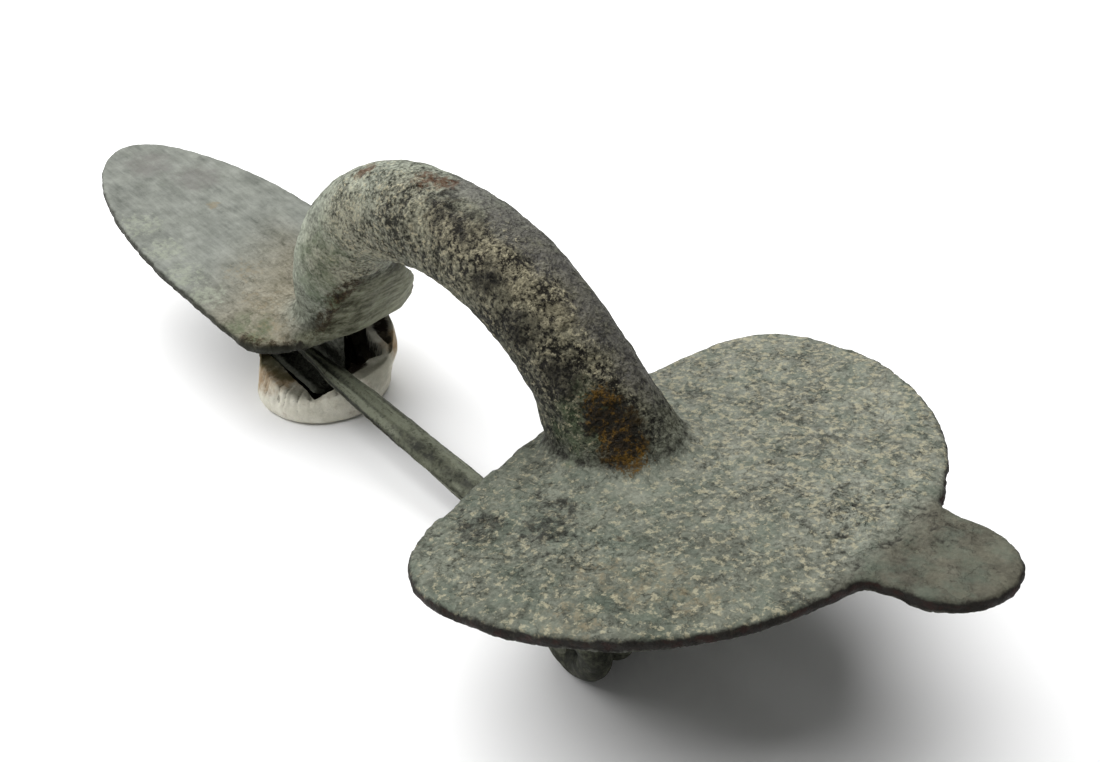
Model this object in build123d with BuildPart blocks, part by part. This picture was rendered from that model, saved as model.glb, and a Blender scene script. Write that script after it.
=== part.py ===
"""Bronze bow brooch lying on a lump of putty, in millimetres.

+X runs towards the knob of the head plate, +Y across the plates and +Z up.
The sizes below are from the bow's middle plane, and the finished pieces are moved
together at the end, so that their origin is on the ground under the whole thing.
"""
import os
from math import cos, radians, sin, tan

from build123d import *

os.makedirs("parts", exist_ok=True)

# Head plate: a wide rounded plate that rises towards its knob
head_back_x = 12.6
head_back_z = 10.0
head_tilt = 10.8
head_radius = 16.2
head_centre = 6.4
head_back_radius = 40.0
head_corner = 5.0
head_thickness = 0.8
knob_past_round = 5.15
knob_width = 6.65
knob_root_fillet = 0.9

# Foot plate: a leaf that rises towards its tip, drawn from its front edge to its tip
foot_front_x = -8.6
foot_front_z = 7.45
foot_tilt = 8.4
foot_length = 31.75
foot_width = 14.6
foot_widest = 12.0
foot_front_bulge = 2.1
foot_far_flare = 0.75
foot_flare_length = 4.0
foot_far_corner = 1.5
foot_near_corner = 3.2
foot_thickness = 0.9

# Both plates lie a little to the far side of the bow and have a worn, rounded rim
plates_y = 0.3
rim_top = 0.3
rim_under = 0.3

# Bow: a thick bar of oval section, bent in an arch
bow_width = 6.0
bow_thickness = 6.25
bow_foot_x = -10.4
bow_head_x = 19.2
bow_crest_z = 19.5

# Spring: one wire, wound on both sides of a lug, whose one end is the pin
wire_radius = 0.95
coil_radius = 2.1
coil_turns = 2.5
coil_pitch = 2.1
coil_x = 20.3
running_gap = 0.25
chord_bend = 1.6
lug_width = 3.0
lug_ring = 1.0
lug_root = 8.0
rod_radius = 0.7
rod_inset = 0.6

# Pin: straight, thinner towards its point
pin_length = 35.8
pin_rise = 5.6
pin_sweep = 2.2

# Catch: a strip bent to a trough below the foot plate, round the pin's end
catch_length = 6.0
catch_past_point = 0.5
catch_sheet = 0.6
catch_gap = 0.2
catch_drop = 0.7
catch_lip_angle = 35.0

# Putty: a low cup, pressed up against the foot plate on its far side
putty_x = -12.9
putty_y = 0.15
putty_radius = 5.6
putty_taper = 12.0
putty_rim_z = 2.0
putty_slant = 28.0
putty_high_side = 135.0
putty_gap = 0.2
putty_round = 0.6

# Places that follow from the sizes above
head_plane = Plane(
    origin=(head_back_x, plates_y, head_back_z),
    x_dir=(cos(radians(head_tilt)), 0, sin(radians(head_tilt))),
    z_dir=(-sin(radians(head_tilt)), 0, cos(radians(head_tilt))),
)
foot_plane = Plane(
    origin=(foot_front_x, plates_y, foot_front_z),
    x_dir=(-cos(radians(foot_tilt)), 0, sin(radians(foot_tilt))),
    z_dir=(sin(radians(foot_tilt)), 0, cos(radians(foot_tilt))),
)


def head_middle_z(x):
    """Height of the middle of the head plate's thickness at x."""
    return head_back_z + (x - head_back_x) * tan(radians(head_tilt)) - head_thickness / 2


def foot_middle_z(x):
    """Height of the middle of the foot plate's thickness at x."""
    return foot_front_z + (foot_front_x - x) * tan(radians(foot_tilt)) - foot_thickness / 2


def on_head_round(corner):
    """Whether a corner of the head plate's outline lies on its large round."""
    return abs(corner.distance_to(Vertex(head_centre, 0, 0)) - head_radius) < 0.001


def soften_rims(plate, plane):
    """Round the top and bottom rims of a flat plate."""
    across = Axis(plane.origin, plane.z_dir)
    fillet(plate.faces().sort_by(across)[-1].edges(), rim_top)
    fillet(plate.faces().sort_by(across)[0].edges(), rim_under)


with BuildPart() as head_plate:
    with BuildSketch(head_plane) as head_outline:
        with Locations((head_centre, 0)):
            Circle(head_radius)
        with Locations((head_back_radius, 0)):
            Circle(head_back_radius, mode=Mode.INTERSECT)
        fillet(head_outline.vertices(), head_corner)
        knob_tip = head_centre + head_radius + knob_past_round
        with Locations(((head_centre + knob_tip) / 2, 0)):
            SlotOverall(knob_tip - head_centre, knob_width)
        on_round = head_outline.vertices().filter_by(on_head_round)
        knob_roots = on_round.sort_by(Axis.X)[-2:]
        fillet(knob_roots, knob_root_fillet)
    extrude(amount=-head_thickness)
    soften_rims(head_plate, head_plane)

with BuildPart() as foot_plate:
    with BuildSketch(foot_plane) as foot_outline:
        with BuildLine():
            side_y = foot_width / 2
            leaf = EllipticalCenterArc(
                (foot_widest, 0), foot_length - foot_widest, side_y, start_angle=-90, arc_size=180
            )
            near_side = Line(leaf @ 1, (foot_front_bulge, side_y))
            far_side = Line(leaf @ 0, (foot_front_bulge + foot_flare_length, -side_y))
            far_flare = Line(far_side @ 1, (foot_front_bulge, -side_y - foot_far_flare))
            ThreePointArc(near_side @ 1, (0, 0), far_flare @ 1)
        make_face()
        fillet(foot_outline.vertices().sort_by_distance(far_flare @ 1)[0], foot_far_corner)
        fillet(foot_outline.vertices().sort_by_distance(near_side @ 1)[0], foot_near_corner)
    extrude(amount=-foot_thickness)
    soften_rims(foot_plate, foot_plane)

# Sections of the bow, from the foot plate to the head plate.
# run and rise are shares of its length and height, wide and thick of its section.
bow_sections = [
    # run, rise, wide, thick
    (0.000, 0.00, 0.85, 0.70),
    (0.012, 0.14, 0.94, 0.82),
    (0.045, 0.36, 1.06, 0.95),
    (0.135, 0.72, 1.05, 1.00),
    (0.270, 0.935, 1.00, 1.00),
    (0.430, 1.00, 1.00, 1.00),
    (0.600, 0.94, 1.00, 1.00),
    (0.765, 0.73, 1.00, 1.00),
    (0.890, 0.44, 1.08, 1.03),
    (0.975, 0.16, 1.52, 1.26),
]
bow_base_z = foot_middle_z(bow_foot_x)
bow_points = [
    (
        bow_foot_x + run * (bow_head_x - bow_foot_x),
        0,
        bow_base_z + rise * (bow_crest_z - bow_base_z),
    )
    for run, rise, wide, thick in bow_sections
]

with BuildPart() as bow:
    with BuildLine():
        bow_curve = Spline(*bow_points)
    for (run, rise, wide, thick), point in zip(bow_sections, bow_points):
        along = bow_curve.tangent_at(bow_curve.param_at_point(point))
        with BuildSketch(Plane(origin=point, x_dir=(0, 1, 0), z_dir=along)):
            Ellipse(wide * bow_width / 2, thick * bow_thickness / 2)
    loft()
    split(bisect_by=head_plane.offset(-head_thickness / 2), keep=Keep.TOP)
    split(bisect_by=foot_plane.offset(-foot_thickness / 2), keep=Keep.TOP)

# The fan flares from the bow's inner side down to the foot plate's front edge.
# Its ridge stands on the near side, and its far end on the plate's far corner.
fan_rows = [
    # height, then x and y of: near ridge, middle, far front, far ridge, far back, near back
    (6.8, (-9.2, -4.3), (-8.2, 0.6), (-8.5, 4.8), (-9.7, 6.95), (-10.1, 6.4), (-10.1, -3.9)),
    (8.2, (-8.35, -3.0), (-7.6, 0.6), (-7.85, 4.5), (-8.6, 6.35), (-10.1, 5.5), (-9.6, -2.3)),
    (10.5, (-6.85, -2.5), (-6.25, 0.6), (-6.35, 3.5), (-6.7, 5.0), (-8.45, 4.1), (-8.45, -1.9)),
    (12.9, (-5.4, -1.5), (-4.95, 0.3), (-4.95, 1.8), (-5.3, 2.9), (-7.05, 1.3), (-7.05, -1.3)),
    (14.6, (-4.2, -0.6), (-3.75, 0.3), (-3.8, 0.8), (-4.3, 1.4), (-6.0, 1.2), (-6.0, -0.8)),
]

with BuildPart() as fan:
    for height, *corners in fan_rows:
        with BuildSketch(Plane.XY.offset(height)):
            with BuildLine():
                Polyline(*corners, close=True)
            make_face()
    loft(ruled=True)

# The spring's axis lies as high as the coil, which rests on the ground
coil_z = coil_radius + wire_radius
coil_inner_y = lug_width / 2 + running_gap + wire_radius
coil_outer_y = coil_inner_y + coil_turns * coil_pitch
lug_radius = rod_radius + running_gap + lug_ring

with BuildPart() as lug:
    with BuildSketch(Plane.XZ.offset(-lug_width / 2)):
        with BuildLine():
            Polyline(
                (coil_x - lug_radius, coil_z),
                (coil_x + lug_radius, coil_z),
                (coil_x + lug_root / 2, head_middle_z(coil_x + lug_root / 2)),
                (coil_x - lug_root / 2, head_middle_z(coil_x - lug_root / 2)),
                close=True,
            )
        make_face()
        with Locations((coil_x, coil_z)):
            Circle(lug_radius)
            Circle(rod_radius + running_gap, mode=Mode.SUBTRACT)
    extrude(amount=lug_width)

# The pin leaves the bottom of the inner turn, towards the foot plate
pin_start = Vector(coil_x, -coil_inner_y, coil_z - coil_radius)
pin_along = Vector(-1, sin(radians(pin_sweep)), sin(radians(pin_rise))).normalized()
catch_front = pin_start + pin_along * (pin_length + catch_past_point - catch_length)
catch_middle = catch_front + pin_along * (catch_length / 2)
catch_bend = wire_radius + catch_gap + catch_sheet / 2
catch_bottom_z = catch_front.Z - catch_drop - catch_bend - catch_sheet / 2

with BuildPart() as catch:
    with BuildSketch(Plane(origin=catch_front, x_dir=(0, -1, 0), z_dir=pin_along)):
        with BuildLine():
            wall_top = foot_middle_z(catch_middle.X) - catch_middle.Z
            wall = Line((-catch_bend, wall_top), (-catch_bend, -catch_drop))
            trough = CenterArc((0, -catch_drop), catch_bend, 180, 180 - catch_lip_angle)
        trace(line_width=catch_sheet)
    extrude(amount=catch_length)

with BuildPart() as brooch:
    add(head_plate.part)
    add(foot_plate.part)
    add(bow.part)
    add(fan.part)
    add(lug.part)
    add(catch.part)

# One half of the spring, wound about its own Z axis from the pin's turn outwards
with BuildPart() as half_coil:
    with BuildLine():
        winding = Helix(coil_pitch, coil_turns * coil_pitch, coil_radius)
    with BuildSketch(Plane(origin=winding @ 0, z_dir=winding % 0)):
        Circle(wire_radius)
    sweep(path=winding, is_frenet=True)

# Shares of the pin's length and of the wire's radius
pin_sections = [
    # along, radius
    (0.00, 1.00),
    (0.45, 1.00),
    (0.72, 0.88),
    (0.92, 0.62),
    (1.00, 0.25),
]
coil_plane = Plane(origin=(coil_x, -coil_inner_y, coil_z), x_dir=(0, 0, -1), z_dir=(0, -1, 0))
chord_x = coil_x - lug_root / 2 - wire_radius
chord_z = coil_z + coil_radius

with BuildPart() as pin_and_spring:
    with Locations(coil_plane.location):
        add(half_coil.part)
    mirror(about=Plane.XZ)
    with BuildLine() as chord:
        FilletPolyline(
            (coil_x, -coil_outer_y, chord_z),
            (chord_x, -coil_outer_y, chord_z),
            (chord_x, coil_outer_y, chord_z),
            (coil_x, coil_outer_y, chord_z),
            radius=chord_bend,
        )
    with BuildSketch(Plane(origin=chord.line @ 0, z_dir=chord.line % 0)):
        Circle(wire_radius)
    sweep(path=chord.line)
    with Locations(chord.line @ 0, chord.line @ 1, pin_start):
        Sphere(wire_radius)
    pin_side = Plane(origin=pin_start, x_dir=pin_along, z_dir=pin_along.cross(Vector(0, 0, 1)))
    with BuildSketch(pin_side):
        with BuildLine():
            edge = [(along * pin_length, radius * wire_radius) for along, radius in pin_sections]
            Polyline((0, 0), *edge, (pin_length, 0), close=True)
        make_face()
    revolve(axis=Axis(pin_start, pin_along))

with BuildPart() as spring_rod:
    rod_end_y = coil_outer_y + wire_radius - rod_inset
    with BuildSketch(Plane.XZ.offset(-rod_end_y)):
        with Locations((coil_x, coil_z)):
            Circle(rod_radius)
    extrude(amount=2 * rod_end_y)

with BuildPart() as putty_rest:
    lump_top_z = foot_front_z + foot_width / 2
    with BuildSketch():
        with Locations((putty_x, putty_y)):
            Circle(putty_radius)
    extrude(amount=lump_top_z, taper=putty_taper)
    fillet(putty_rest.faces().sort_by(Axis.Z)[0].edges(), putty_round)
    catch_half_width = catch_bend + catch_sheet / 2
    hollow_radius = (catch_half_width**2 + (catch_length / 2) ** 2) ** 0.5 + putty_gap
    with BuildSketch(Plane.XY.offset(catch_bottom_z - putty_gap)):
        with Locations((catch_middle.X, catch_middle.Y)):
            Circle(hollow_radius)
    extrude(amount=lump_top_z, mode=Mode.SUBTRACT)
    split(bisect_by=foot_plane.offset(-foot_thickness - putty_gap), keep=Keep.BOTTOM)
    uphill = Vector(cos(radians(putty_high_side)), sin(radians(putty_high_side)), 0)
    low_rim = Vector(putty_x, putty_y, putty_rim_z) - uphill * putty_radius
    up_slant = uphill * cos(radians(putty_slant)) + Vector(0, 0, sin(radians(putty_slant)))
    across_slant = uphill.cross(Vector(0, 0, 1))
    rim_plane = Plane(origin=low_rim, x_dir=up_slant, z_dir=across_slant.cross(up_slant))
    split(bisect_by=rim_plane, keep=Keep.BOTTOM)

pieces = {
    "brooch": brooch,
    "pin_and_spring": pin_and_spring,
    "spring_rod": spring_rod,
    "putty_rest": putty_rest,
}

# The origin goes on the ground, under the middle of the whole thing
whole = Compound([piece.part for piece in pieces.values()]).bounding_box()
to_origin = Location((-whole.center().X, -whole.center().Y, -whole.min.Z))
for name, piece in pieces.items():
    placed = piece.part.moved(to_origin)
    placed.label = name
    export_step(placed, f"parts/{name}.step")
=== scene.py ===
"""Looks of a bronze bow brooch on its lump of putty, in metres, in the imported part's frame."""
import math

import bmesh
import bpy
import numpy as np
from mathutils import Matrix, Vector, noise


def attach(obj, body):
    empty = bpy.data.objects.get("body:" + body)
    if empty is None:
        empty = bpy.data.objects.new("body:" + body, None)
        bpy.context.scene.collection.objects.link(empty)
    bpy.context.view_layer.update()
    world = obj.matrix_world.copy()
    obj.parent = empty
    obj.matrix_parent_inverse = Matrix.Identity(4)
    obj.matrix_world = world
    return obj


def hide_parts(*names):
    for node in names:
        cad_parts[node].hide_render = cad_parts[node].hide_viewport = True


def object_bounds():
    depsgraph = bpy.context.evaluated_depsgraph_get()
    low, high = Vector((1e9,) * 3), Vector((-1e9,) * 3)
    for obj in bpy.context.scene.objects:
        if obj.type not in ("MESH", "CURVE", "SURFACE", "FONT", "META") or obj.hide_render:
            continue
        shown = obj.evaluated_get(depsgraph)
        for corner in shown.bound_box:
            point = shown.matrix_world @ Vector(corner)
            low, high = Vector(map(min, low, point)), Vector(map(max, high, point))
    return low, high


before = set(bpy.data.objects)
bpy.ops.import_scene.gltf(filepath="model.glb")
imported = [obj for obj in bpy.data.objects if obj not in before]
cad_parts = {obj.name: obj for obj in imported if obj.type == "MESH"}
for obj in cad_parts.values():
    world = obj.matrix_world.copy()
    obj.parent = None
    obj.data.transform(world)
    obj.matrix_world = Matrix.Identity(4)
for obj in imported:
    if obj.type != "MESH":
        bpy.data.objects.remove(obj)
cad_box = [list(corner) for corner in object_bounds()]
scene = bpy.context.scene
MM_PER_METRE = 1000

# Camera, at the photograph's viewing angle
azimuth, elevation, roll = math.radians(44.54), math.radians(34.98), math.radians(-0.47)
camera_place = (0.0492914, -0.03835, 0.04975)
back = Vector((
    math.sin(azimuth) * math.cos(elevation),
    -math.cos(azimuth) * math.cos(elevation),
    math.sin(elevation),
))
right = Vector((math.cos(azimuth), math.sin(azimuth), 0))
up = back.cross(right)
rolled_right = right * math.cos(roll) + up * math.sin(roll)
rolled_up = up * math.cos(roll) - right * math.sin(roll)
turned = Matrix((rolled_right, rolled_up, back)).transposed().to_4x4()
lens = bpy.data.cameras.new("camera")
lens.lens = 36
lens.sensor_width = 36
lens.clip_start = 0.002
lens.clip_end = 10
camera = bpy.data.objects.new("camera", lens)
camera.matrix_world = Matrix.Translation(camera_place) @ turned
scene.collection.objects.link(camera)
scene.camera = camera
scene.view_settings.view_transform = "Standard"

# Light: one large soft lamp high on the foot plate's side, and a weak pale sky
lamp_tilt, lamp_azimuth, lamp_distance = math.radians(29), math.radians(180), 0.5
towards_lamp = Vector((
    math.sin(lamp_tilt) * math.cos(lamp_azimuth),
    math.sin(lamp_tilt) * math.sin(lamp_azimuth),
    math.cos(lamp_tilt),
))
bulb = bpy.data.lights.new("soft_lamp", "AREA")
bulb.shape = "DISK"
bulb.size = 0.9
bulb.energy = 8.2
lamp = bpy.data.objects.new("soft_lamp", bulb)
lamp.location = towards_lamp * lamp_distance
lamp.rotation_euler = towards_lamp.to_track_quat("Z", "Y").to_euler()
scene.collection.objects.link(lamp)
sky = bpy.data.worlds.new("pale_sky")
sky.use_nodes = True
sky_light = sky.node_tree.nodes["Background"]
sky_light.inputs["Color"].default_value = (1, 1, 1, 1)
sky_light.inputs["Strength"].default_value = 0.18
scene.world = sky

# Sockets that are known by number: a colour Mix's factor, lower and upper colour and result,
# an Attribute's factor, and Object on a Texture Coordinate
FACTOR, LOWER, UPPER, MIXED = 0, 6, 7, 2
ATTRIBUTE_FACTOR = 2
OBJECT_COORDINATES = 3


def linear(code):
    """A colour's sRGB hex code as linear red, green, blue and alpha."""
    shares = [int(code[i:i + 2], 16) / 255 for i in (1, 3, 5)]
    return [s / 12.92 if s <= 0.04045 else ((s + 0.055) / 1.055) ** 2.4 for s in shares] + [1]


def add(tree, kind, settings, links=None, output=0):
    """Adds a shader node with its settings and links, and returns one of its outputs."""
    node = tree.nodes.new("ShaderNode" + kind)
    for name, value in settings.items():
        if isinstance(name, int) or name in node.inputs:
            node.inputs[name].default_value = value
        else:
            setattr(node, name, value)
    for name, source in (links or {}).items():
        tree.links.new(source, node.inputs[name])
    return node.outputs[output]


def per_mm(size):
    """The scale of a pattern whose lumps are about this many millimetres across."""
    return MM_PER_METRE / size


def new_material(name, metallic):
    """A material, its node tree, its shader and the Object coordinates in it."""
    material = bpy.data.materials.new(name)
    material.use_nodes = True
    tree = material.node_tree
    shader = tree.nodes["Principled BSDF"]
    shader.inputs["Metallic"].default_value = metallic
    shader.inputs["Specular IOR Level"].default_value = 0.2
    return material, tree, shader, add(tree, "TexCoord", {}, output=OBJECT_COORDINATES)


def clouds(tree, place, sizes):
    """Noises around 0, added up. Each is given as its lumps in millimetres, weight and detail."""
    total = None
    for size, weight, detail in sizes:
        settings = {"Scale": per_mm(size), "Detail": detail, "Roughness": 0.65}
        cloud = add(tree, "TexNoise", settings, {"Vector": place})
        level = add(tree, "Math", {"operation": "SUBTRACT", 1: 0.5}, {0: cloud})
        links = {0: level} if total is None else {0: level, 2: total}
        total = add(tree, "Math", {"operation": "MULTIPLY_ADD", 1: weight, 2: 0.0}, links)
    return total


def ground(tree, tone, pairs):
    """A dark and a light colour by tone, with another pair where each attribute is high."""
    (_, first_dark, first_light), *others = pairs
    dark = add(tree, "Mix", {"data_type": "RGBA", FACTOR: 0.0, LOWER: linear(first_dark)}, output=MIXED)
    light = add(tree, "Mix", {"data_type": "RGBA", FACTOR: 0.0, LOWER: linear(first_light)}, output=MIXED)
    for name, dark_code, light_code in others:
        share = add(tree, "Attribute", {"attribute_name": name}, output=ATTRIBUTE_FACTOR)
        settings = {"data_type": "RGBA", UPPER: linear(dark_code)}
        dark = add(tree, "Mix", settings, {FACTOR: share, LOWER: dark}, output=MIXED)
        settings = {"data_type": "RGBA", UPPER: linear(light_code)}
        light = add(tree, "Mix", settings, {FACTOR: share, LOWER: light}, output=MIXED)
    return add(tree, "Mix", {"data_type": "RGBA"}, {FACTOR: tone, LOWER: dark, UPPER: light}, output=MIXED)


def layered(tree, place, colour, layers):
    """Lays patches over a colour, each where its attribute and its own noise add up to enough."""
    attribute_weight, enough = 0.6, 0.8
    for name, code, size, softness, reach in layers:
        amount = add(tree, "Attribute", {"attribute_name": name}, output=ATTRIBUTE_FACTOR)
        settings = {"Scale": per_mm(size), "Detail": 5, "Roughness": 0.7}
        patches = add(tree, "TexNoise", settings, {"Vector": place})
        settings = {"operation": "MULTIPLY_ADD", 1: attribute_weight}
        height = add(tree, "Math", settings, {0: amount, 2: patches})
        settings = {
            "interpolation_type": "SMOOTHSTEP",
            "From Min": enough - softness, "From Max": enough + softness, "To Max": reach,
        }
        cover = add(tree, "MapRange", settings, {"Value": height})
        settings = {"data_type": "RGBA", UPPER: linear(code)}
        colour = add(tree, "Mix", settings, {FACTOR: cover, LOWER: colour}, output=MIXED)
    return colour


def finish_shader(tree, shader, place, colour, rough, relief):
    """Links the colour, an uneven roughness and the bump of a relief in millimetres."""
    tree.links.new(colour, shader.inputs["Base Color"])
    cloud = add(tree, "TexNoise", {"Scale": per_mm(1.1), "Detail": 4}, {"Vector": place})
    settings = {"From Min": 0.3, "From Max": 0.7, "To Min": rough[0], "To Max": rough[1]}
    tree.links.new(add(tree, "MapRange", settings, {"Value": cloud}), shader.inputs["Roughness"])
    bump = add(tree, "Bump", {"Strength": 1.0, "Distance": 1 / MM_PER_METRE}, {"Height": relief})
    tree.links.new(bump, shader.inputs["Normal"])


# Cast bronze under a stable grey-green patina: dull, mineral and hardly metallic any more
bronze, tree, shader, place = new_material("patinated_cast_bronze", 0.05)
# The corrosion's grain, about 0.1 mm, is drawn at 0.24 mm so that it shows
grit = add(tree, "Attribute", {"attribute_name": "grit"}, output=ATTRIBUTE_FACTOR)
speckle = clouds(tree, place, [(0.24, 1.7, 2), (0.6, 0.9, 5)])
patchy = clouds(tree, place, [(1.5, 1.2, 6), (5.0, 0.8, 3)])
lift = add(tree, "Attribute", {"attribute_name": "lift"}, output=ATTRIBUTE_FACTOR)
mottle = add(tree, "Math", {"operation": "ADD"}, {0: patchy, 1: lift})
tone = add(tree, "Math", {"operation": "MULTIPLY_ADD"}, {0: grit, 1: speckle, 2: mottle})
line_marks = [
    # attribute, stretch, mm across the lines, weight
    ("foot", (0.1, 1, 1), 0.4, 0.9),
    ("fan", (1, 0.12, 0.45), 0.3, 1.5),
]
for name, stretch, size, weight in line_marks:
    share = add(tree, "Attribute", {"attribute_name": name}, output=ATTRIBUTE_FACTOR)
    stretched = add(tree, "Mapping", {"Scale": stretch}, {"Vector": place})
    lines = clouds(tree, stretched, [(size, weight, 3)])
    tone = add(tree, "Math", {"operation": "MULTIPLY_ADD"}, {0: share, 1: lines, 2: tone})
# Plates of crust, a little lighter and proud, with a thin dark broken outline that is painted shadow of
# their raised edges
settings = {"Scale": per_mm(2.2), "Detail": 8, "Roughness": 0.62}
crust_noise = add(tree, "TexNoise", settings, {"Vector": place})
bands = []
for start, end, weight in ((0.5, 0.515, 0.28), (0.455, 0.49, -0.2)):
    settings = {"interpolation_type": "SMOOTHSTEP", "From Min": start, "From Max": end}
    bands.append(add(tree, "MapRange", settings, {"Value": crust_noise}))
    level = add(tree, "Math", {"operation": "MULTIPLY", 1: weight}, {0: bands[-1]})
    tone = add(tree, "Math", {"operation": "MULTIPLY_ADD"}, {0: grit, 1: level, 2: tone})
tone = add(tree, "Math", {"operation": "ADD", 1: 0.48, "use_clamp": True}, {0: tone})
colour = ground(tree, tone, [
    # attribute, dark, light
    ("", "#2a2c23", "#6e7165"),
    ("far", "#2e2f28", "#7f8175"),
    ("knob", "#2c2a22", "#615f52"),
    ("foot", "#4f524c", "#868981"),
    ("deposit", "#45412f", "#8d8776"),
    ("bow", "#2d2f24", "#979c8d"),
    ("sooty", "#080703", "#585849"),
    ("soil_and_shade", "#151008", "#8f8870"),
    ("fan", "#262512", "#8a8c77"),
    ("under", "#1b1d15", "#62645a"),
])
colour = layered(tree, place, colour, [
    # attribute, colour, lumps in mm, softness, reach
    ("green", "#47553c", 1.1, 0.2, 0.6),
    ("blue_green", "#4e5a4f", 1.8, 0.14, 0.4),
    ("lilac", "#5e5c58", 1.2, 0.2, 0.65),
    ("pale", "#8b9080", 0.5, 0.12, 0.6),
    ("tan", "#776c55", 0.45, 0.12, 0.6),
    ("grain", "#a69f84", 0.3, 0.05, 0.75),
    ("head_grain", "#9c967d", 0.4, 0.06, 0.6),
    ("rust_and_shade", "#31250a", 0.6, 0.1, 0.95),
    ("ochre", "#5c430f", 0.3, 0.06, 0.85),
    ("red", "#4c2b0f", 0.4, 0.12, 0.72),
    ("dark", "#0f0e0a", 0.6, 0.12, 0.85),
    ("rim", "#120d0a", 0.7, 0.2, 0.92),
    ("edge", "#23241a", 0.8, 0.25, 0.88),
    ("rim_red", "#2b1813", 0.9, 0.1, 0.8),
    ("speck", "#0f0e0a", 0.35, 0.05, 0.85),
    ("pit_and_shade", "#0f0e0a", 0.3, 0.16, 0.8),
])
plate_relief = 0.05
relief = clouds(tree, place, [(0.24, 0.11, 2), (0.6, 0.2, 5)])
relief = add(tree, "Math", {"operation": "MULTIPLY_ADD", 1: plate_relief}, {0: bands[0], 2: relief})
relief = add(tree, "Math", {"operation": "MULTIPLY"}, {0: relief, 1: grit})
finish_shader(tree, shader, place, colour, (0.6, 0.9), relief)

# Drawn bronze wire, greener and smoother than the casting
wire_bronze, tree, shader, place = new_material("patinated_bronze_wire", 0.1)
speckle = clouds(tree, place, [(0.2, 1.0, 2), (0.7, 1.9, 4), (2.5, 1.2, 2)])
tone = add(tree, "Math", {"operation": "ADD", 1: 0.5, "use_clamp": True}, {0: speckle})
colour = ground(tree, tone, [("", "#1b1d14", "#606252")])
colour = layered(tree, place, colour, [
    ("streak", "#7c806e", 0.45, 0.12, 0.65),
    ("groove", "#0f100b", 0.45, 0.12, 0.8),
    ("pit_and_shade", "#11110c", 0.4, 0.16, 0.8),
])
relief = clouds(tree, place, [(0.2, 0.04, 2), (0.6, 0.08, 3)])
finish_shader(tree, shader, place, colour, (0.5, 0.8), relief)

# Dried white putty: chalky and dull, stained brown where the soil was, with painted shade in its hollows,
# creases and upper parts and a painted highlight on its ring
putty, tree, shader, place = new_material("dried_putty", 0.0)
speckle = clouds(tree, place, [(0.8, 1.4, 4), (3.0, 1.2, 2)])
tone = add(tree, "Math", {"operation": "ADD", 1: 0.5, "use_clamp": True}, {0: speckle})
colour = ground(tree, tone, [("", "#d3d0be", "#f2efe2")])
colour = layered(tree, place, colour, [
    ("grime_and_shade", "#8f8d7c", 1.2, 0.3, 0.8),
    ("stain", "#94703f", 0.9, 0.3, 0.85),
    ("olive", "#4a4a30", 0.9, 0.25, 0.85),
    ("soil_and_shade", "#1f170f", 0.8, 0.25, 1.0),
    ("pit_and_shade", "#5c5646", 0.4, 0.16, 0.6),
])
relief = clouds(tree, place, [(0.25, 0.04, 2), (0.9, 0.08, 4)])
finish_shader(tree, shader, place, colour, (0.75, 0.95), relief)

# Matt white paper under it, plain
paper = bpy.data.materials.new("matt_white_paper")
paper.use_nodes = True
paper_shader = paper.node_tree.nodes["Principled BSDF"]
paper_shader.inputs["Base Color"].default_value = linear("#eeeeee")
paper_shader.inputs["Roughness"].default_value = 0.9
sheet = bmesh.new()
bmesh.ops.create_grid(sheet, x_segments=1, y_segments=1, size=2)
floor_mesh = bpy.data.meshes.new("floor")
sheet.to_mesh(floor_mesh)
sheet.free()
floor_mesh.materials.append(paper)
floor = bpy.data.objects.new("floor", floor_mesh)
scene.collection.objects.link(floor)


def even_copy(node_name, voxel, added=None):
    """A copy of a CAD node in millimetres, with an even skin that can be sculpted."""
    shape = bmesh.new()
    shape.from_mesh(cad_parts[node_name].data)
    bmesh.ops.remove_doubles(shape, verts=shape.verts, dist=1e-7)
    bmesh.ops.scale(shape, vec=[MM_PER_METRE] * 3, verts=shape.verts)
    if added:
        added(shape)
    rough = bpy.data.meshes.new("rough")
    shape.to_mesh(rough)
    shape.free()
    blank = bpy.data.objects.new("blank", rough)
    scene.collection.objects.link(blank)
    skin = blank.modifiers.new("even_skin", "REMESH")
    skin.mode = "VOXEL"
    skin.voxel_size = voxel
    evaluated = blank.evaluated_get(bpy.context.evaluated_depsgraph_get())
    mesh = bpy.data.meshes.new_from_object(evaluated)
    bpy.data.objects.remove(blank)
    return mesh


def fade(value, low, high):
    """0 below low, 1 above high and smooth between them; high may be under low."""
    share = np.clip((value - low) / (high - low), 0, 1)
    return share * share * (3 - 2 * share)


def lumps(points, size, seed=0, octaves=2):
    """Noise from about -1 to 1 whose lumps are about size millimetres across.

    Each seed reads another part of the same noise.
    """
    dimension, lacunarity, seed_step = 1.0, 2.0, 17.3
    scaled = points / size + seed * seed_step
    return np.array([noise.fractal(Vector(p), dimension, lacunarity, octaves) for p in scaled])


def near(points, spots, radius):
    """1 at the spots and 0 beyond the radius."""
    apart = np.min([np.linalg.norm(points - np.array(spot), axis=1) for spot in spots], axis=0)
    return fade(apart, radius, radius * 0.25)


def along_line(points, corners):
    """Each point's distance from a line through the corners."""
    apart = np.full(len(points), np.inf)
    for start, end in zip(corners[:-1], corners[1:]):
        start, run = np.array(start), np.array(end) - np.array(start)
        share = np.clip((points - start) @ run / (run @ run), 0, 1)
        apart = np.minimum(apart, np.linalg.norm(points - start - share[:, None] * run, axis=1))
    return apart


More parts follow.
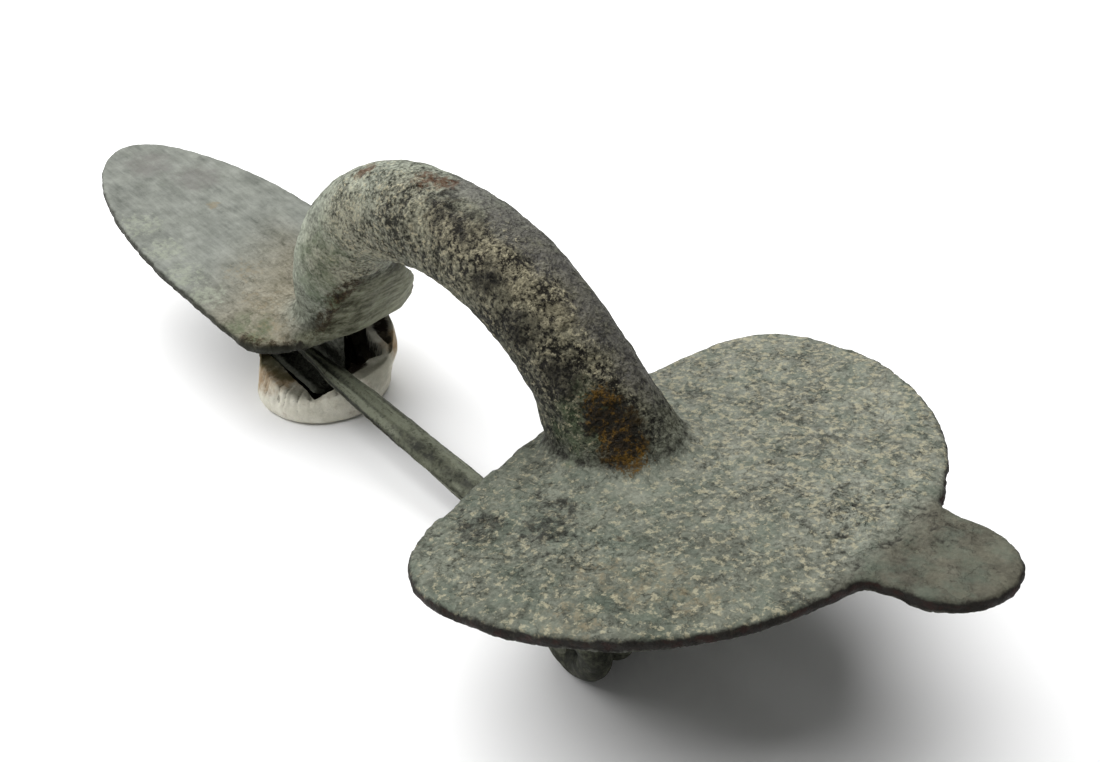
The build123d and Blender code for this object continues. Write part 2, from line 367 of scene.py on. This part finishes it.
class Clay:
    """A mesh's points in millimetres, to be pushed about and written back.

    smooth and push change the points in place, so x, y, z = clay.points.T follow them.
    """

    def __init__(self, mesh):
        self.mesh = mesh
        self.points = np.empty(len(mesh.vertices) * 3, np.float32)
        mesh.vertices.foreach_get("co", self.points)
        self.points = self.points.reshape(-1, 3).astype(float)
        ends = np.empty(len(mesh.edges) * 2, np.int32)
        mesh.edges.foreach_get("vertices", ends)
        self.ends = ends.reshape(-1, 2)
        self.count = np.bincount(self.ends.ravel(), minlength=len(self.points))
        self.refresh()

    def refresh(self):
        """Writes the points back and reads the normals."""
        self.mesh.vertices.foreach_set("co", self.points.astype(np.float32).ravel())
        self.mesh.update()
        normals = np.empty(len(self.points) * 3, np.float32)
        self.mesh.vertex_normals.foreach_get("vector", normals)
        self.normals = normals.reshape(-1, 3).astype(float)

    def averaged(self, values):
        """Each point's mean of its neighbours' values."""
        one, other = self.ends.T
        columns = values.reshape(len(self.points), -1)
        sums = [
            np.bincount(one, c[other], len(self.points)) + np.bincount(other, c[one], len(self.points))
            for c in columns.T
        ]
        return (np.array(sums).T / self.count[:, None]).reshape(values.shape)

    def smooth(self, share, times):
        """Moves each point towards its neighbours."""
        for _ in range(times):
            self.points += np.reshape(share, (-1, 1)) * 0.5 * (self.averaged(self.points) - self.points)
        self.refresh()

    def push(self, amount):
        """Moves each point along its normal, in millimetres."""
        self.points += self.normals * np.reshape(amount, (-1, 1))
        self.refresh()

    def depth(self, rings):
        """How far each point lies under the mean of its surroundings, in millimetres."""
        rest = self.points
        for _ in range(rings):
            rest = self.averaged(rest)
        return ((rest - self.points) * self.normals).sum(1)

    def keep_inside(self, low, high):
        """Holds the points in a box that is given in metres."""
        self.points = np.clip(self.points, np.array(low) * MM_PER_METRE, np.array(high) * MM_PER_METRE)
        self.refresh()

    def paint(self, name, values):
        """Stores an attribute for the material to read."""
        attribute = self.mesh.attributes.new(name, "FLOAT", "POINT")
        attribute.data.foreach_set("value", values.astype(np.float32))

    def piece(self, name, material, node):
        """Makes the finished piece, in metres, in the place of its CAD node."""
        self.mesh.name = name
        self.mesh.transform(Matrix.Scale(1 / MM_PER_METRE, 4))
        self.mesh.shade_smooth()
        self.mesh.materials.clear()
        self.mesh.materials.append(material)
        thing = bpy.data.objects.new(name, self.mesh)
        scene.collection.objects.link(thing)
        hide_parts(node)
        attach(thing, "root")


# Casting: head plate, bow, fan and foot plate in one. The fan is the flared face from the
# bow's inner side down to the foot plate's front lip. All places and sizes are in millimetres.
casting = Clay(even_copy("brooch", voxel=0.2))
casting.smooth(1.0, 3)
# Each plate's slope, the x and z of a point on its top, and an x between the plates
head_slope, head_x, head_z = math.radians(10.8), 12.671, 10.0
foot_slope, foot_x, foot_z = math.radians(8.4), -8.529, 7.45
between_plates = 2
# The photograph's right, on the ground
picture_right = np.array([0.713, 0.701])


def above_plates(points):
    """Each point's height above the top of the plate that it is on or over."""
    head_top = head_z + (points[:, 0] - head_x) * math.tan(head_slope)
    foot_top = foot_z + (foot_x - points[:, 0]) * math.tan(foot_slope)
    return points[:, 2] - np.where(points[:, 0] > between_plates, head_top, foot_top)


# The bow flows into both plates, and the lug and catch into them below
crease = fade(casting.depth(1), 0.004, 0.02)
for _ in range(10):
    crease = np.maximum(crease, casting.averaged(crease))
casting.smooth(crease * fade(above_plates(casting.points), -0.6, -0.2), 130)
casting.smooth(crease, 10)
flank_foot = [
    (-16.2, 0.6, 8.3), (-15.2, -1.3, 8.4), (-12.7, -2.1, 8.1), (-11.6, -2.3, 7.9), (-10.3, -2.6, 7.8),
]
at_flank = fade(along_line(casting.points, flank_foot), 2.8, 1.2)
casting.smooth(at_flank * fade(above_plates(casting.points), -0.5, -0.1), 260)

# The bow's near side flares where it meets the head
flare_width = 0.45
flare = near(casting.points, [(13.6, -2.7, 10.2)], 3.4) * fade(above_plates(casting.points), -0.3, 0.2)
casting.points[:, :2] -= flare_width * flare[:, None] * picture_right
casting.refresh()

# The ridge from the near front corner of the foot up the fan's near side
ridge = [
    (-11.9, -6.9, 7.8), (-10.4, -6.3, 7.5), (-9.2, -5.2, 7.5), (-8.7, -4.2, 7.6),
    (-8.2, -3.3, 8.4), (-6.8, -2.8, 10.5), (-5.3, -1.8, 12.9),
]
on_whole_ridge = fade(along_line(casting.points, ridge), 0.9, 0.0)
on_low_ridge = fade(along_line(casting.points, ridge[:4]), 0.8, 0.0)
casting.push(0.1 * on_whole_ridge + 0.15 * on_low_ridge)

# Where everything is: shares from 0 to 1
x, y, z = casting.points.T
height = above_plates(casting.points)
is_head = fade(x, 2.0, 4.0)
span = fade(x, -9.5, -8.0) * fade(x, 13.0, 11.5)
bow = np.maximum(fade(height, 0.2, 1.2), span * fade(height, -0.3, 0.3))
under = (1 - bow) * fade(height, -0.45, -0.75)
plate_up = np.where(
    is_head > 0.5,
    casting.normals @ np.array([-math.sin(head_slope), 0, math.cos(head_slope)]),
    casting.normals @ np.array([math.sin(foot_slope), 0, math.cos(foot_slope)]),
)
# The fan faces forwards, on the far side of its near ridge
fan = (1 - is_head) * fade(casting.normals[:, 0], 0.2, 0.5) * fade(x, -11.2, -9.8) * fade(z, 14.0, 12.2)
fan = fan * fade(z, 6.3, 6.7) * fade(y + 4.1 - 0.43 * (z - 7.6), -0.35, 0.1)
bow = bow * (1 - fan)
# The bow's colours fade out widely on the foot and narrowly on the head
foot_fade, head_fade = 45, 12
for step in range(foot_fade):
    fading = (x < -6) | ((x > 12) & (step < head_fade))
    bow = np.where(fading, casting.averaged(bow), bow)
rim = (1 - bow) * fade(np.abs(plate_up), 0.9, 0.45) * fade(height, -1.5, -1.1) * (1 - fan)
rim_spread = rim
for _ in range(2):
    rim_spread = np.maximum(rim, casting.averaged(rim_spread))
# Far is the head's lighter far half, deposit the tan film on the foot beside the bow, sooty
# the bow's dark end, and outer its far side
head = is_head * (1 - bow) * (1 - under)
foot = (1 - is_head) * (1 - bow) * (1 - under) * (1 - fan)
far = is_head * fade(y + 0.25 * (x - 20), -9, 7)
knob = fade(x, 33.0, 35.0)
deposit = foot * fade(x + 0.5 * y, -24, -15) * fade(y, 5.5, 2.0)
sooty = bow * fade(x, -1.0, 12.0)
outer = bow * fade(y, -1.5, 0.5) * fade(x, -2.0, 2.0)

# Fields that the relief and the colours share
soil_spots = [
    (2.2, -2.9, 20.9), (5.0, -3.0, 20.3), (7.4, -2.9, 20.2), (-2.6, -3.3, 18.4), (-0.3, -2.8, 17.6),
    (10.2, -2.5, 19.8), (12.9, -2.1, 18.8), (14.8, -2.1, 17.2), (16.8, -1.9, 15.6), (-5.1, -2.7, 14.3),
]
band = [(5.0, -2.4, 21.4), (8.5, -2.4, 20.7), (10.6, -2.1, 20.1), (12.5, -1.6, 19.4), (13.8, -1.5, 18.6)]
off_band = along_line(casting.points, band) + 0.5 * lumps(casting.points, 1.3, 14, octaves=3)
soil_and_shade = bow * np.maximum(0.6 * near(casting.points, soil_spots, 4.5), fade(off_band, 1.6, 0.7))
waves = lumps(casting.points, 7.0, 1)
knobbly = lumps(casting.points, 1.6, 2)
fine = lumps(casting.points, 0.55, 5)
flake_field = lumps(casting.points, 3.6, 3, octaves=4)
flakes = fade(flake_field, 0.08, 0.15)
second_field = lumps(casting.points, 2.0, 4, octaves=4)
second_flakes = fade(second_field, 0.16, 0.22)
crust = fade(lumps(casting.points, 1.1, 12, octaves=4) + soil_and_shade, 0.45, 0.55)
flaky_spots = [
    (17.5, -8.5, 10.9), (19.5, -10.5, 11.3), (22.0, -9.5, 11.8), (17.0, -11.5, 10.8), (33.0, 1.0, 14.0),
]
flaky = near(casting.points, flaky_spots, 6.0)
chips = near(casting.points, [(-3.2, -1.2, 21.5), (2.2, -0.8, 22.5), (4.0, -0.6, 22.5)], 1.6)
chips = chips * fade(lumps(casting.points, 1.0, 15, octaves=3), -0.1, 0.0)
# A worn arc that carries the head's outline on across the knob's root
arc_centre, arc_radius = 18.96, 15.4
off_arc = np.hypot((x - arc_centre) / math.cos(head_slope), y) - arc_radius + 0.25 * knobbly
arc = fade(np.abs(off_arc), 0.5, 0.1) * fade(np.abs(y), 4.2, 3.0) * fade(x, 30, 31) * (1 - under)

# Relief: long waves, lumps, flakes that stand proud, grain, chips and a worn rim
worn = 0.06 + 0.07 * lumps(casting.points, 2.2, 6) + 0.1 * np.maximum(lumps(casting.points, 0.9, 16), 0)
casting.push(
    (0.10 - 0.05 * bow - 0.03 * outer) * waves * (1 - rim)
    + (0.02 * foot + 0.05 * head + 0.035 * bow + 0.06 * under) * knobbly
    + (0.04 + 0.07 * flaky) * flakes * (head + 0.3 * bow)
    + (0.03 + 0.06 * flaky) * second_flakes * (head + bow)
    + (0.008 * foot + 0.03 * head + 0.045 * bow + 0.04 * under + 0.02 * fan) * fine
    + 0.13 * soil_and_shade * crust * (1 - 0.7 * outer)
    - 0.14 * chips - 0.06 * arc
    - rim * worn
)
casting.keep_inside(*cad_box)

# Where the patina changes colour, how much lighter it is, and how gritty, with painted shadow along the
# flake edges and painted shade and a painted highlight at the catch
flake_edge_shadows = np.exp(-((flake_field - 0.10) / 0.035) ** 2) + np.exp(-((second_field - 0.18) / 0.03) ** 2)
shares = {
    "far": far, "knob": knob, "foot": foot, "bow": bow, "fan": fan, "under": under,
    "deposit": 0.9 * deposit, "sooty": 0.85 * sooty, "soil_and_shade": 0.8 * soil_and_shade,
    "rim": rim_spread * is_head,
    "rim_red": 0.42 * rim_spread * is_head,
    "edge": 0.85 * rim_spread * (1 - is_head),
    "blue_green": 0.42 * head + 0.1 * deposit,
    "head_grain": (0.36 + 0.05 * far) * head * (1 - knob),
    "grain": (
        0.1 * deposit + (0.33 * fade(x, -9, -4) + 0.01 * sooty) * bow * (1 - 0.6 * outer) + 0.06 * soil_and_shade
    ),
    "speck": (
        0.08 * head * (1 - knob) + 0.05 * deposit + 0.3 * bow * fade(x, -8, -3) * (1 - outer) + 0.1 * fan
    ),
    "grit": (
        0.62 * head + 0.2 * far - 0.4 * knob + 0.35 * flaky * head + 0.12 * foot + 0.4 * deposit
        + (0.8 + 0.4 * fade(x, -7, -3)) * bow + 0.3 * sooty + 0.5 * soil_and_shade + 0.9 * under + 0.35 * fan
    ),
    # Dark patina in the hollows, and painted shadow along the edges of the flakes
    "pit_and_shade": (
        fade(casting.depth(4), 0.01, 0.06) * 0.5 + flake_edge_shadows * head * (0.05 + 0.25 * flaky) + 0.15 * arc
    ),
}
stains = [
    # attribute, amount, radius, places
    ("lift", 0.2, 4.0, [(-7.2, -3.0, 14.6), (-4.4, -3.3, 16.5)]),
    ("lift", -0.2, 3.0, [(2.5, -3.0, 19.0), (5.0, -3.0, 18.6), (8.0, -3.0, 18.0), (11.0, -3.0, 16.6)]),
    ("lift", -0.3, 2.6, [(17.0, -2.5, 14.8), (18.6, -2.5, 13.4), (15.0, -2.6, 15.8)]),
    ("lift", 0.08, 2.2, [(1.0, -1.0, 22.4), (4.0, -1.5, 22.2), (-2.5, -1.5, 21.6)]),
    ("lift", 0.3, 4.0, [(19.0, -5.2, 11.2), (21.0, -4.6, 11.6)]),
    ("lift", 0.2, 3.0, [(-7.8, 5.0, 9.0), (-9.0, 3.0, 7.2)]),
    ("lift", -0.3, 1.6, [(-8.0, -2.6, 8.8), (-6.7, -1.8, 10.9), (-5.3, -0.6, 13.0), (-5.2, 1.6, 13.0)]),
    ("green", 0.55, 3.2, [
        (-7.2, -3.5, 14.6), (-5.1, -3.3, 16.0), (-7.1, -3.3, 12.3),
        (17.1, -2.9, 14.0), (16.8, -3.4, 13.0), (-12.4, -6.0, 8.0),
    ]),
    ("lilac", 0.7, 3.4, [
        (5.2, 0.8, 22.2), (9.0, 0.3, 21.4), (12.0, 0.4, 20.0), (15.1, 0.4, 17.8),
        (17.5, 1.1, 15.2), (-32, 2, 11), (-36, 0, 11.6),
    ]),
    ("pale", 0.5, 3.0, [(-24.4, -5.5, 9.8), (-20.7, -6.1, 9.2), (-17.7, -6.3, 8.8), (-28.4, -5.2, 10.4)]),
    ("tan", 0.4, 3.0, [
        (-14.8, -3.4, 8.4), (-18.6, -2.3, 8.9), (-11.5, -5.0, 8.0), (26.9, -9.8, 12.7),
        (24.8, -10.2, 12.3), (29.2, -9.0, 13.1), (25.8, -13.3, 12.5), (27.0, -8.4, 12.7),
    ]),
    ("tan", 0.6, 1.0, [(-27.62, 0.8, 10.27)]),
    ("dark", 0.52, 2.4, [
        (4.9, -1.7, 22.0), (7.2, -1.8, 21.6), (9.8, -2.9, 19.4), (12.3, -3.1, 17.5),
        (15.3, -3.0, 15.5), (19.4, -7.3, 11.3), (19.9, -8.9, 11.4), (17.0, -10.8, 10.8),
    ]),
    ("rust_and_shade", 0.68, 2.4, [(19.6, -2.5, 12.7), (18.8, -2.0, 13.7), (17.9, -2.3, 14.3)]),
    ("ochre", 0.52, 2.2, [(18.9, -2.4, 13.4), (17.6, -2.3, 14.6), (19.8, -2.3, 12.4)]),
    ("speck", 0.3, 1.8, [(18.6, -2.0, 13.9), (19.2, -2.2, 13.2), (17.9, -2.6, 14.0)]),
    ("red", 0.6, 1.6, [(-3.2, -1.2, 21.5), (2.2, -0.8, 22.5), (3.5, -0.4, 22.6)]),
]
for name, amount, radius, spots in stains:
    shares[name] = shares.get(name, 0) + amount * near(casting.points, spots, radius)
off_ridge = along_line(casting.points, ridge)
shares["dark"] += 0.38 * fade(off_ridge, 1.2, 0.3)
shares["rust_and_shade"] += 0.5 * fade(off_ridge, 1.5, 0.3)
shares["red"] += 0.28 * fade(off_ridge, 1.2, 0.3)
front_lip = [
    (-13.5, -7.2, 7.2), (-11.9, -6.9, 7.0), (-10.4, -6.3, 6.9), (-9.3, -5.2, 6.9), (-8.8, -4.2, 6.9),
]
shares["dark"] += 0.5 * fade(along_line(casting.points, front_lip), 0.9, 0.4)
# Painted shade darkens the catch inside, brown-black, and a painted highlight lightens the edge of its lip
lip_highlight = fade(along_line(casting.points, [(-9.8, -3.1, 2.4), (-15.7, -3.1, 2.9)]), 0.6, 0.35)
catch_shade = fade(z, 5.6, 5.0) * fade(x, -9.0, -9.6) * (1 - lip_highlight)
shares["dark"] += 0.36 * catch_shade
shares["rust_and_shade"] += 0.3 * catch_shade
shares["lift"] += 0.5 * lip_highlight
for name, values in shares.items():
    casting.paint(name, values)
casting.piece("brooch_casting", bronze, "brooch")

# Pin and spring: one wire, flattened and grooved along the pin
wire = Clay(even_copy("pin_and_spring", voxel=0.11))
wire.smooth(1.0, 2)
pin_start = np.array([20.371, -3.0, 0.95])
pin_along = np.array([-1, math.sin(math.radians(2.2)), math.sin(math.radians(5.6))])
pin_along /= np.linalg.norm(pin_along)
run = (wire.points - pin_start) @ pin_along
from_axis = wire.points - pin_start - run[:, None] * pin_along
on_pin = fade(run, 1.5, 4.0) * fade(np.linalg.norm(from_axis, axis=1), 1.4, 1.15)
pin_up = np.array([0, 0, 1]) - pin_along[2] * pin_along
pin_up /= np.linalg.norm(pin_up)
pin_side = np.cross(pin_up, pin_along)
flattening = 0.16 * on_pin
widening = on_pin * (0.1 + 0.2 * fade(run, 6, 16)) * fade(run, 31.5, 29.0)
wire.points -= (flattening * (from_axis @ pin_up))[:, None] * pin_up
wire.points += (widening * (from_axis @ pin_side))[:, None] * pin_side
wire.refresh()
# The grooves are a noise that is fine round the pin and drawn out along it
grooves_around, groove_length, least_reach = 1.5, 9, 0.2
around = from_axis / np.maximum(np.linalg.norm(from_axis, axis=1), least_reach)[:, None]
groove_space = around * grooves_around + run[:, None] * pin_along / groove_length
grooves = lumps(groove_space, 1.0, 7) * on_pin
wire.push(-0.18 * np.abs(grooves) - 0.03 * on_pin + 0.03 * lumps(wire.points, 0.8, 8))
wire.keep_inside(*cad_box)
wire.paint("streak", 0.3 + 0.5 * grooves + 0.25 * fade(run, 14, 28))
wire.paint("groove", 0.4 - 0.5 * grooves + 0.12 * (1 - on_pin))
wire.paint("pit_and_shade", fade(wire.depth(4), 0.0, 0.03) * 0.6)
wire.piece("pin_and_spring_wire", wire_bronze, "pin_and_spring")

# Spring rod: the CAD node, with the wire's finish
for material_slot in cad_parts["spring_rod"].material_slots:
    material_slot.material = wire_bronze

# Putty: a pressed lump, creased round its near rim. It fills the cup up to the catch's lip.
# On the knob's side it bulges, and a thin ring stands between two hollows in its rim.
putty_middle = (-12.83, -0.15)
lip_corner, lip_normal = (-9.76, -3.15, 2.2), (0.0385, 1, 0)


def pressed_in(shape):
    """Adds the filling between the near rim and the catch's lip."""
    filling = bmesh.new()
    bmesh.ops.create_cone(
        filling, cap_ends=True, segments=64, radius1=5.3, radius2=4.6, depth=3.4,
        matrix=Matrix.Translation((*putty_middle, 1.9)),
    )
    top_corner, top_normal = (-12.8, -3.3, 2.6), (0.2, 0.1, 1)
    for place, direction in ((lip_corner, lip_normal), (top_corner, top_normal)):
        whole = [*filling.verts, *filling.edges, *filling.faces]
        cut = bmesh.ops.bisect_plane(
            filling, geom=whole, plane_co=place, plane_no=direction, clear_outer=True,
        )
        edges = [part for part in cut["geom_cut"] if isinstance(part, bmesh.types.BMEdge)]
        bmesh.ops.contextual_create(filling, geom=edges)
    plug = bpy.data.meshes.new("plug")
    filling.to_mesh(plug)
    filling.free()
    shape.from_mesh(plug)


lump = Clay(even_copy("putty_rest", voxel=0.12, added=pressed_in))
lump.smooth(1.0, 3)
x, y, z = lump.points.T
from_middle = lump.points[:, :2] - putty_middle
angle = np.arctan2(from_middle[:, 1], from_middle[:, 0])
turn = np.degrees(angle)
reach = np.hypot(from_middle[:, 0], from_middle[:, 1])
filling = fade(y + lip_normal[0] * (x - lip_corner[0]), -2.9, -3.3) * fade(z, 1.0, 1.6)
lump.smooth(filling * fade(reach, 5.6, 5.0) * fade(y, -3.2, -4.0), 60)
# The bulge on the knob's side
facing_knob = fade(from_middle @ picture_right / np.maximum(reach, 0.1), 0.6, 0.95) * fade(reach, 3.4, 4.4)
bulge = facing_knob * (1.1 * fade(z, 1.2, 3.8) - 0.35 * fade(z, 1.6, 0.6))
lump.points[:, :2] += bulge[:, None] * picture_right
# The ring, with its distance from the middle by angle, and the hollows inside and outside it
ring_reach = np.interp(turn, [13, 20, 29, 42, 49], [4.1, 4.35, 4.2, 3.7, 3.5])
upper_rim = fade(z, 2.0, 2.8) * fade(turn, 4, 11) * fade(turn, 78, 62)
hollow = upper_rim * fade(reach, ring_reach - 0.15, ring_reach - 0.4)
ring = upper_rim * fade(np.abs(reach - ring_reach), 0.35, 0.12) * fade(turn, 60, 50)
outer_hollow = near(lump.points, [(-9.1, 2.9, 4.6), (-8.6, 2.5, 4.3)], 0.85) * (1 - ring)
lump.points[:, 2] += 0.12 * ring - 1.9 * hollow * fade(z, 2.0, 3.4) - 0.6 * outer_hollow
lump.refresh()
# Creases across the near rim, close together round it and drawn out inwards
closeness, drawn_out = 6, 0.2
crease_space = np.stack([np.cos(angle) * closeness, np.sin(angle) * closeness, reach * drawn_out], axis=1)
creases = np.abs(lumps(crease_space, 1.0, 9))
near_side = fade(y - 0.4 * x, 5.0, 0.0)
on_rim = fade(lump.normals[:, 2], 0.0, 0.6) * fade(reach, 3.4, 4.2) * near_side
lump.push(
    0.12 * (lumps(lump.points, 2.6, 10) - 1) * fade(z, 0.0, 0.6)
    + 0.34 * on_rim * (creases - 0.45) * fade(creases, 0.5, 0.2)
    + 0.03 * (lumps(lump.points, 0.8, 11) - 1)
)
lump.keep_inside(*cad_box)

# Soil with painted shade in the hollows, grime with painted shade on the upper parts, a painted highlight
# on the ring, painted shade in the creases, and stains
x, y, z = lump.points.T
inside = fade(reach, 4.9, 4.3) * fade(z, 0.0, 0.3) * (1 - filling)
deep = np.maximum.reduce([inside * fade(reach, 4.3, 4.0), hollow, 0.85 * outer_hollow]) * (1 - ring)
grime_and_shade_spots = [(-7.6, 1.4, 2.4), (-8.2, 1.0, 3.4)]
stained = [(-16.2, -3.8, 3.0), (-14.9, -4.5, 2.2), (-13.8, -4.3, 2.3), (-12.9, -3.9, 2.4), (-8.2, 3.6, 4.4)]
olive_places = [(-15.2, -3.5, 3.0), (-14.2, -3.5, 2.8), (-13.2, -3.4, 2.6), (-16.0, -3.0, 3.6)]
# The hollows are painted near-black: soil, and painted shade under the foot plate
lump.paint("soil_and_shade", np.clip(deep * 1.3, 0, 1))
# Grey on the upper parts and the filling is grime with painted shade under the foot plate, and the ring is
# left lighter as a painted highlight
lump.paint("grime_and_shade", (
    0.25 - 0.6 * ring + 0.45 * fade(z, 2.6, 4.5) + 0.4 * filling * fade(reach, 5.0, 4.2)
    + 0.6 * near(lump.points, grime_and_shade_spots, 2.2)
))
lump.paint("stain", 0.7 * near(lump.points, stained, 1.9))
lump.paint("olive", 0.8 * near(lump.points, olive_places, 1.5))
# Painted shade darkens the hollows and the bottoms of the rim's creases
lump.paint("pit_and_shade", fade(lump.depth(4), 0.0, 0.04) * 0.6 + 0.35 * on_rim * fade(creases, 0.12, 0.0))
lump.piece("putty_lump", putty, "putty_rest")
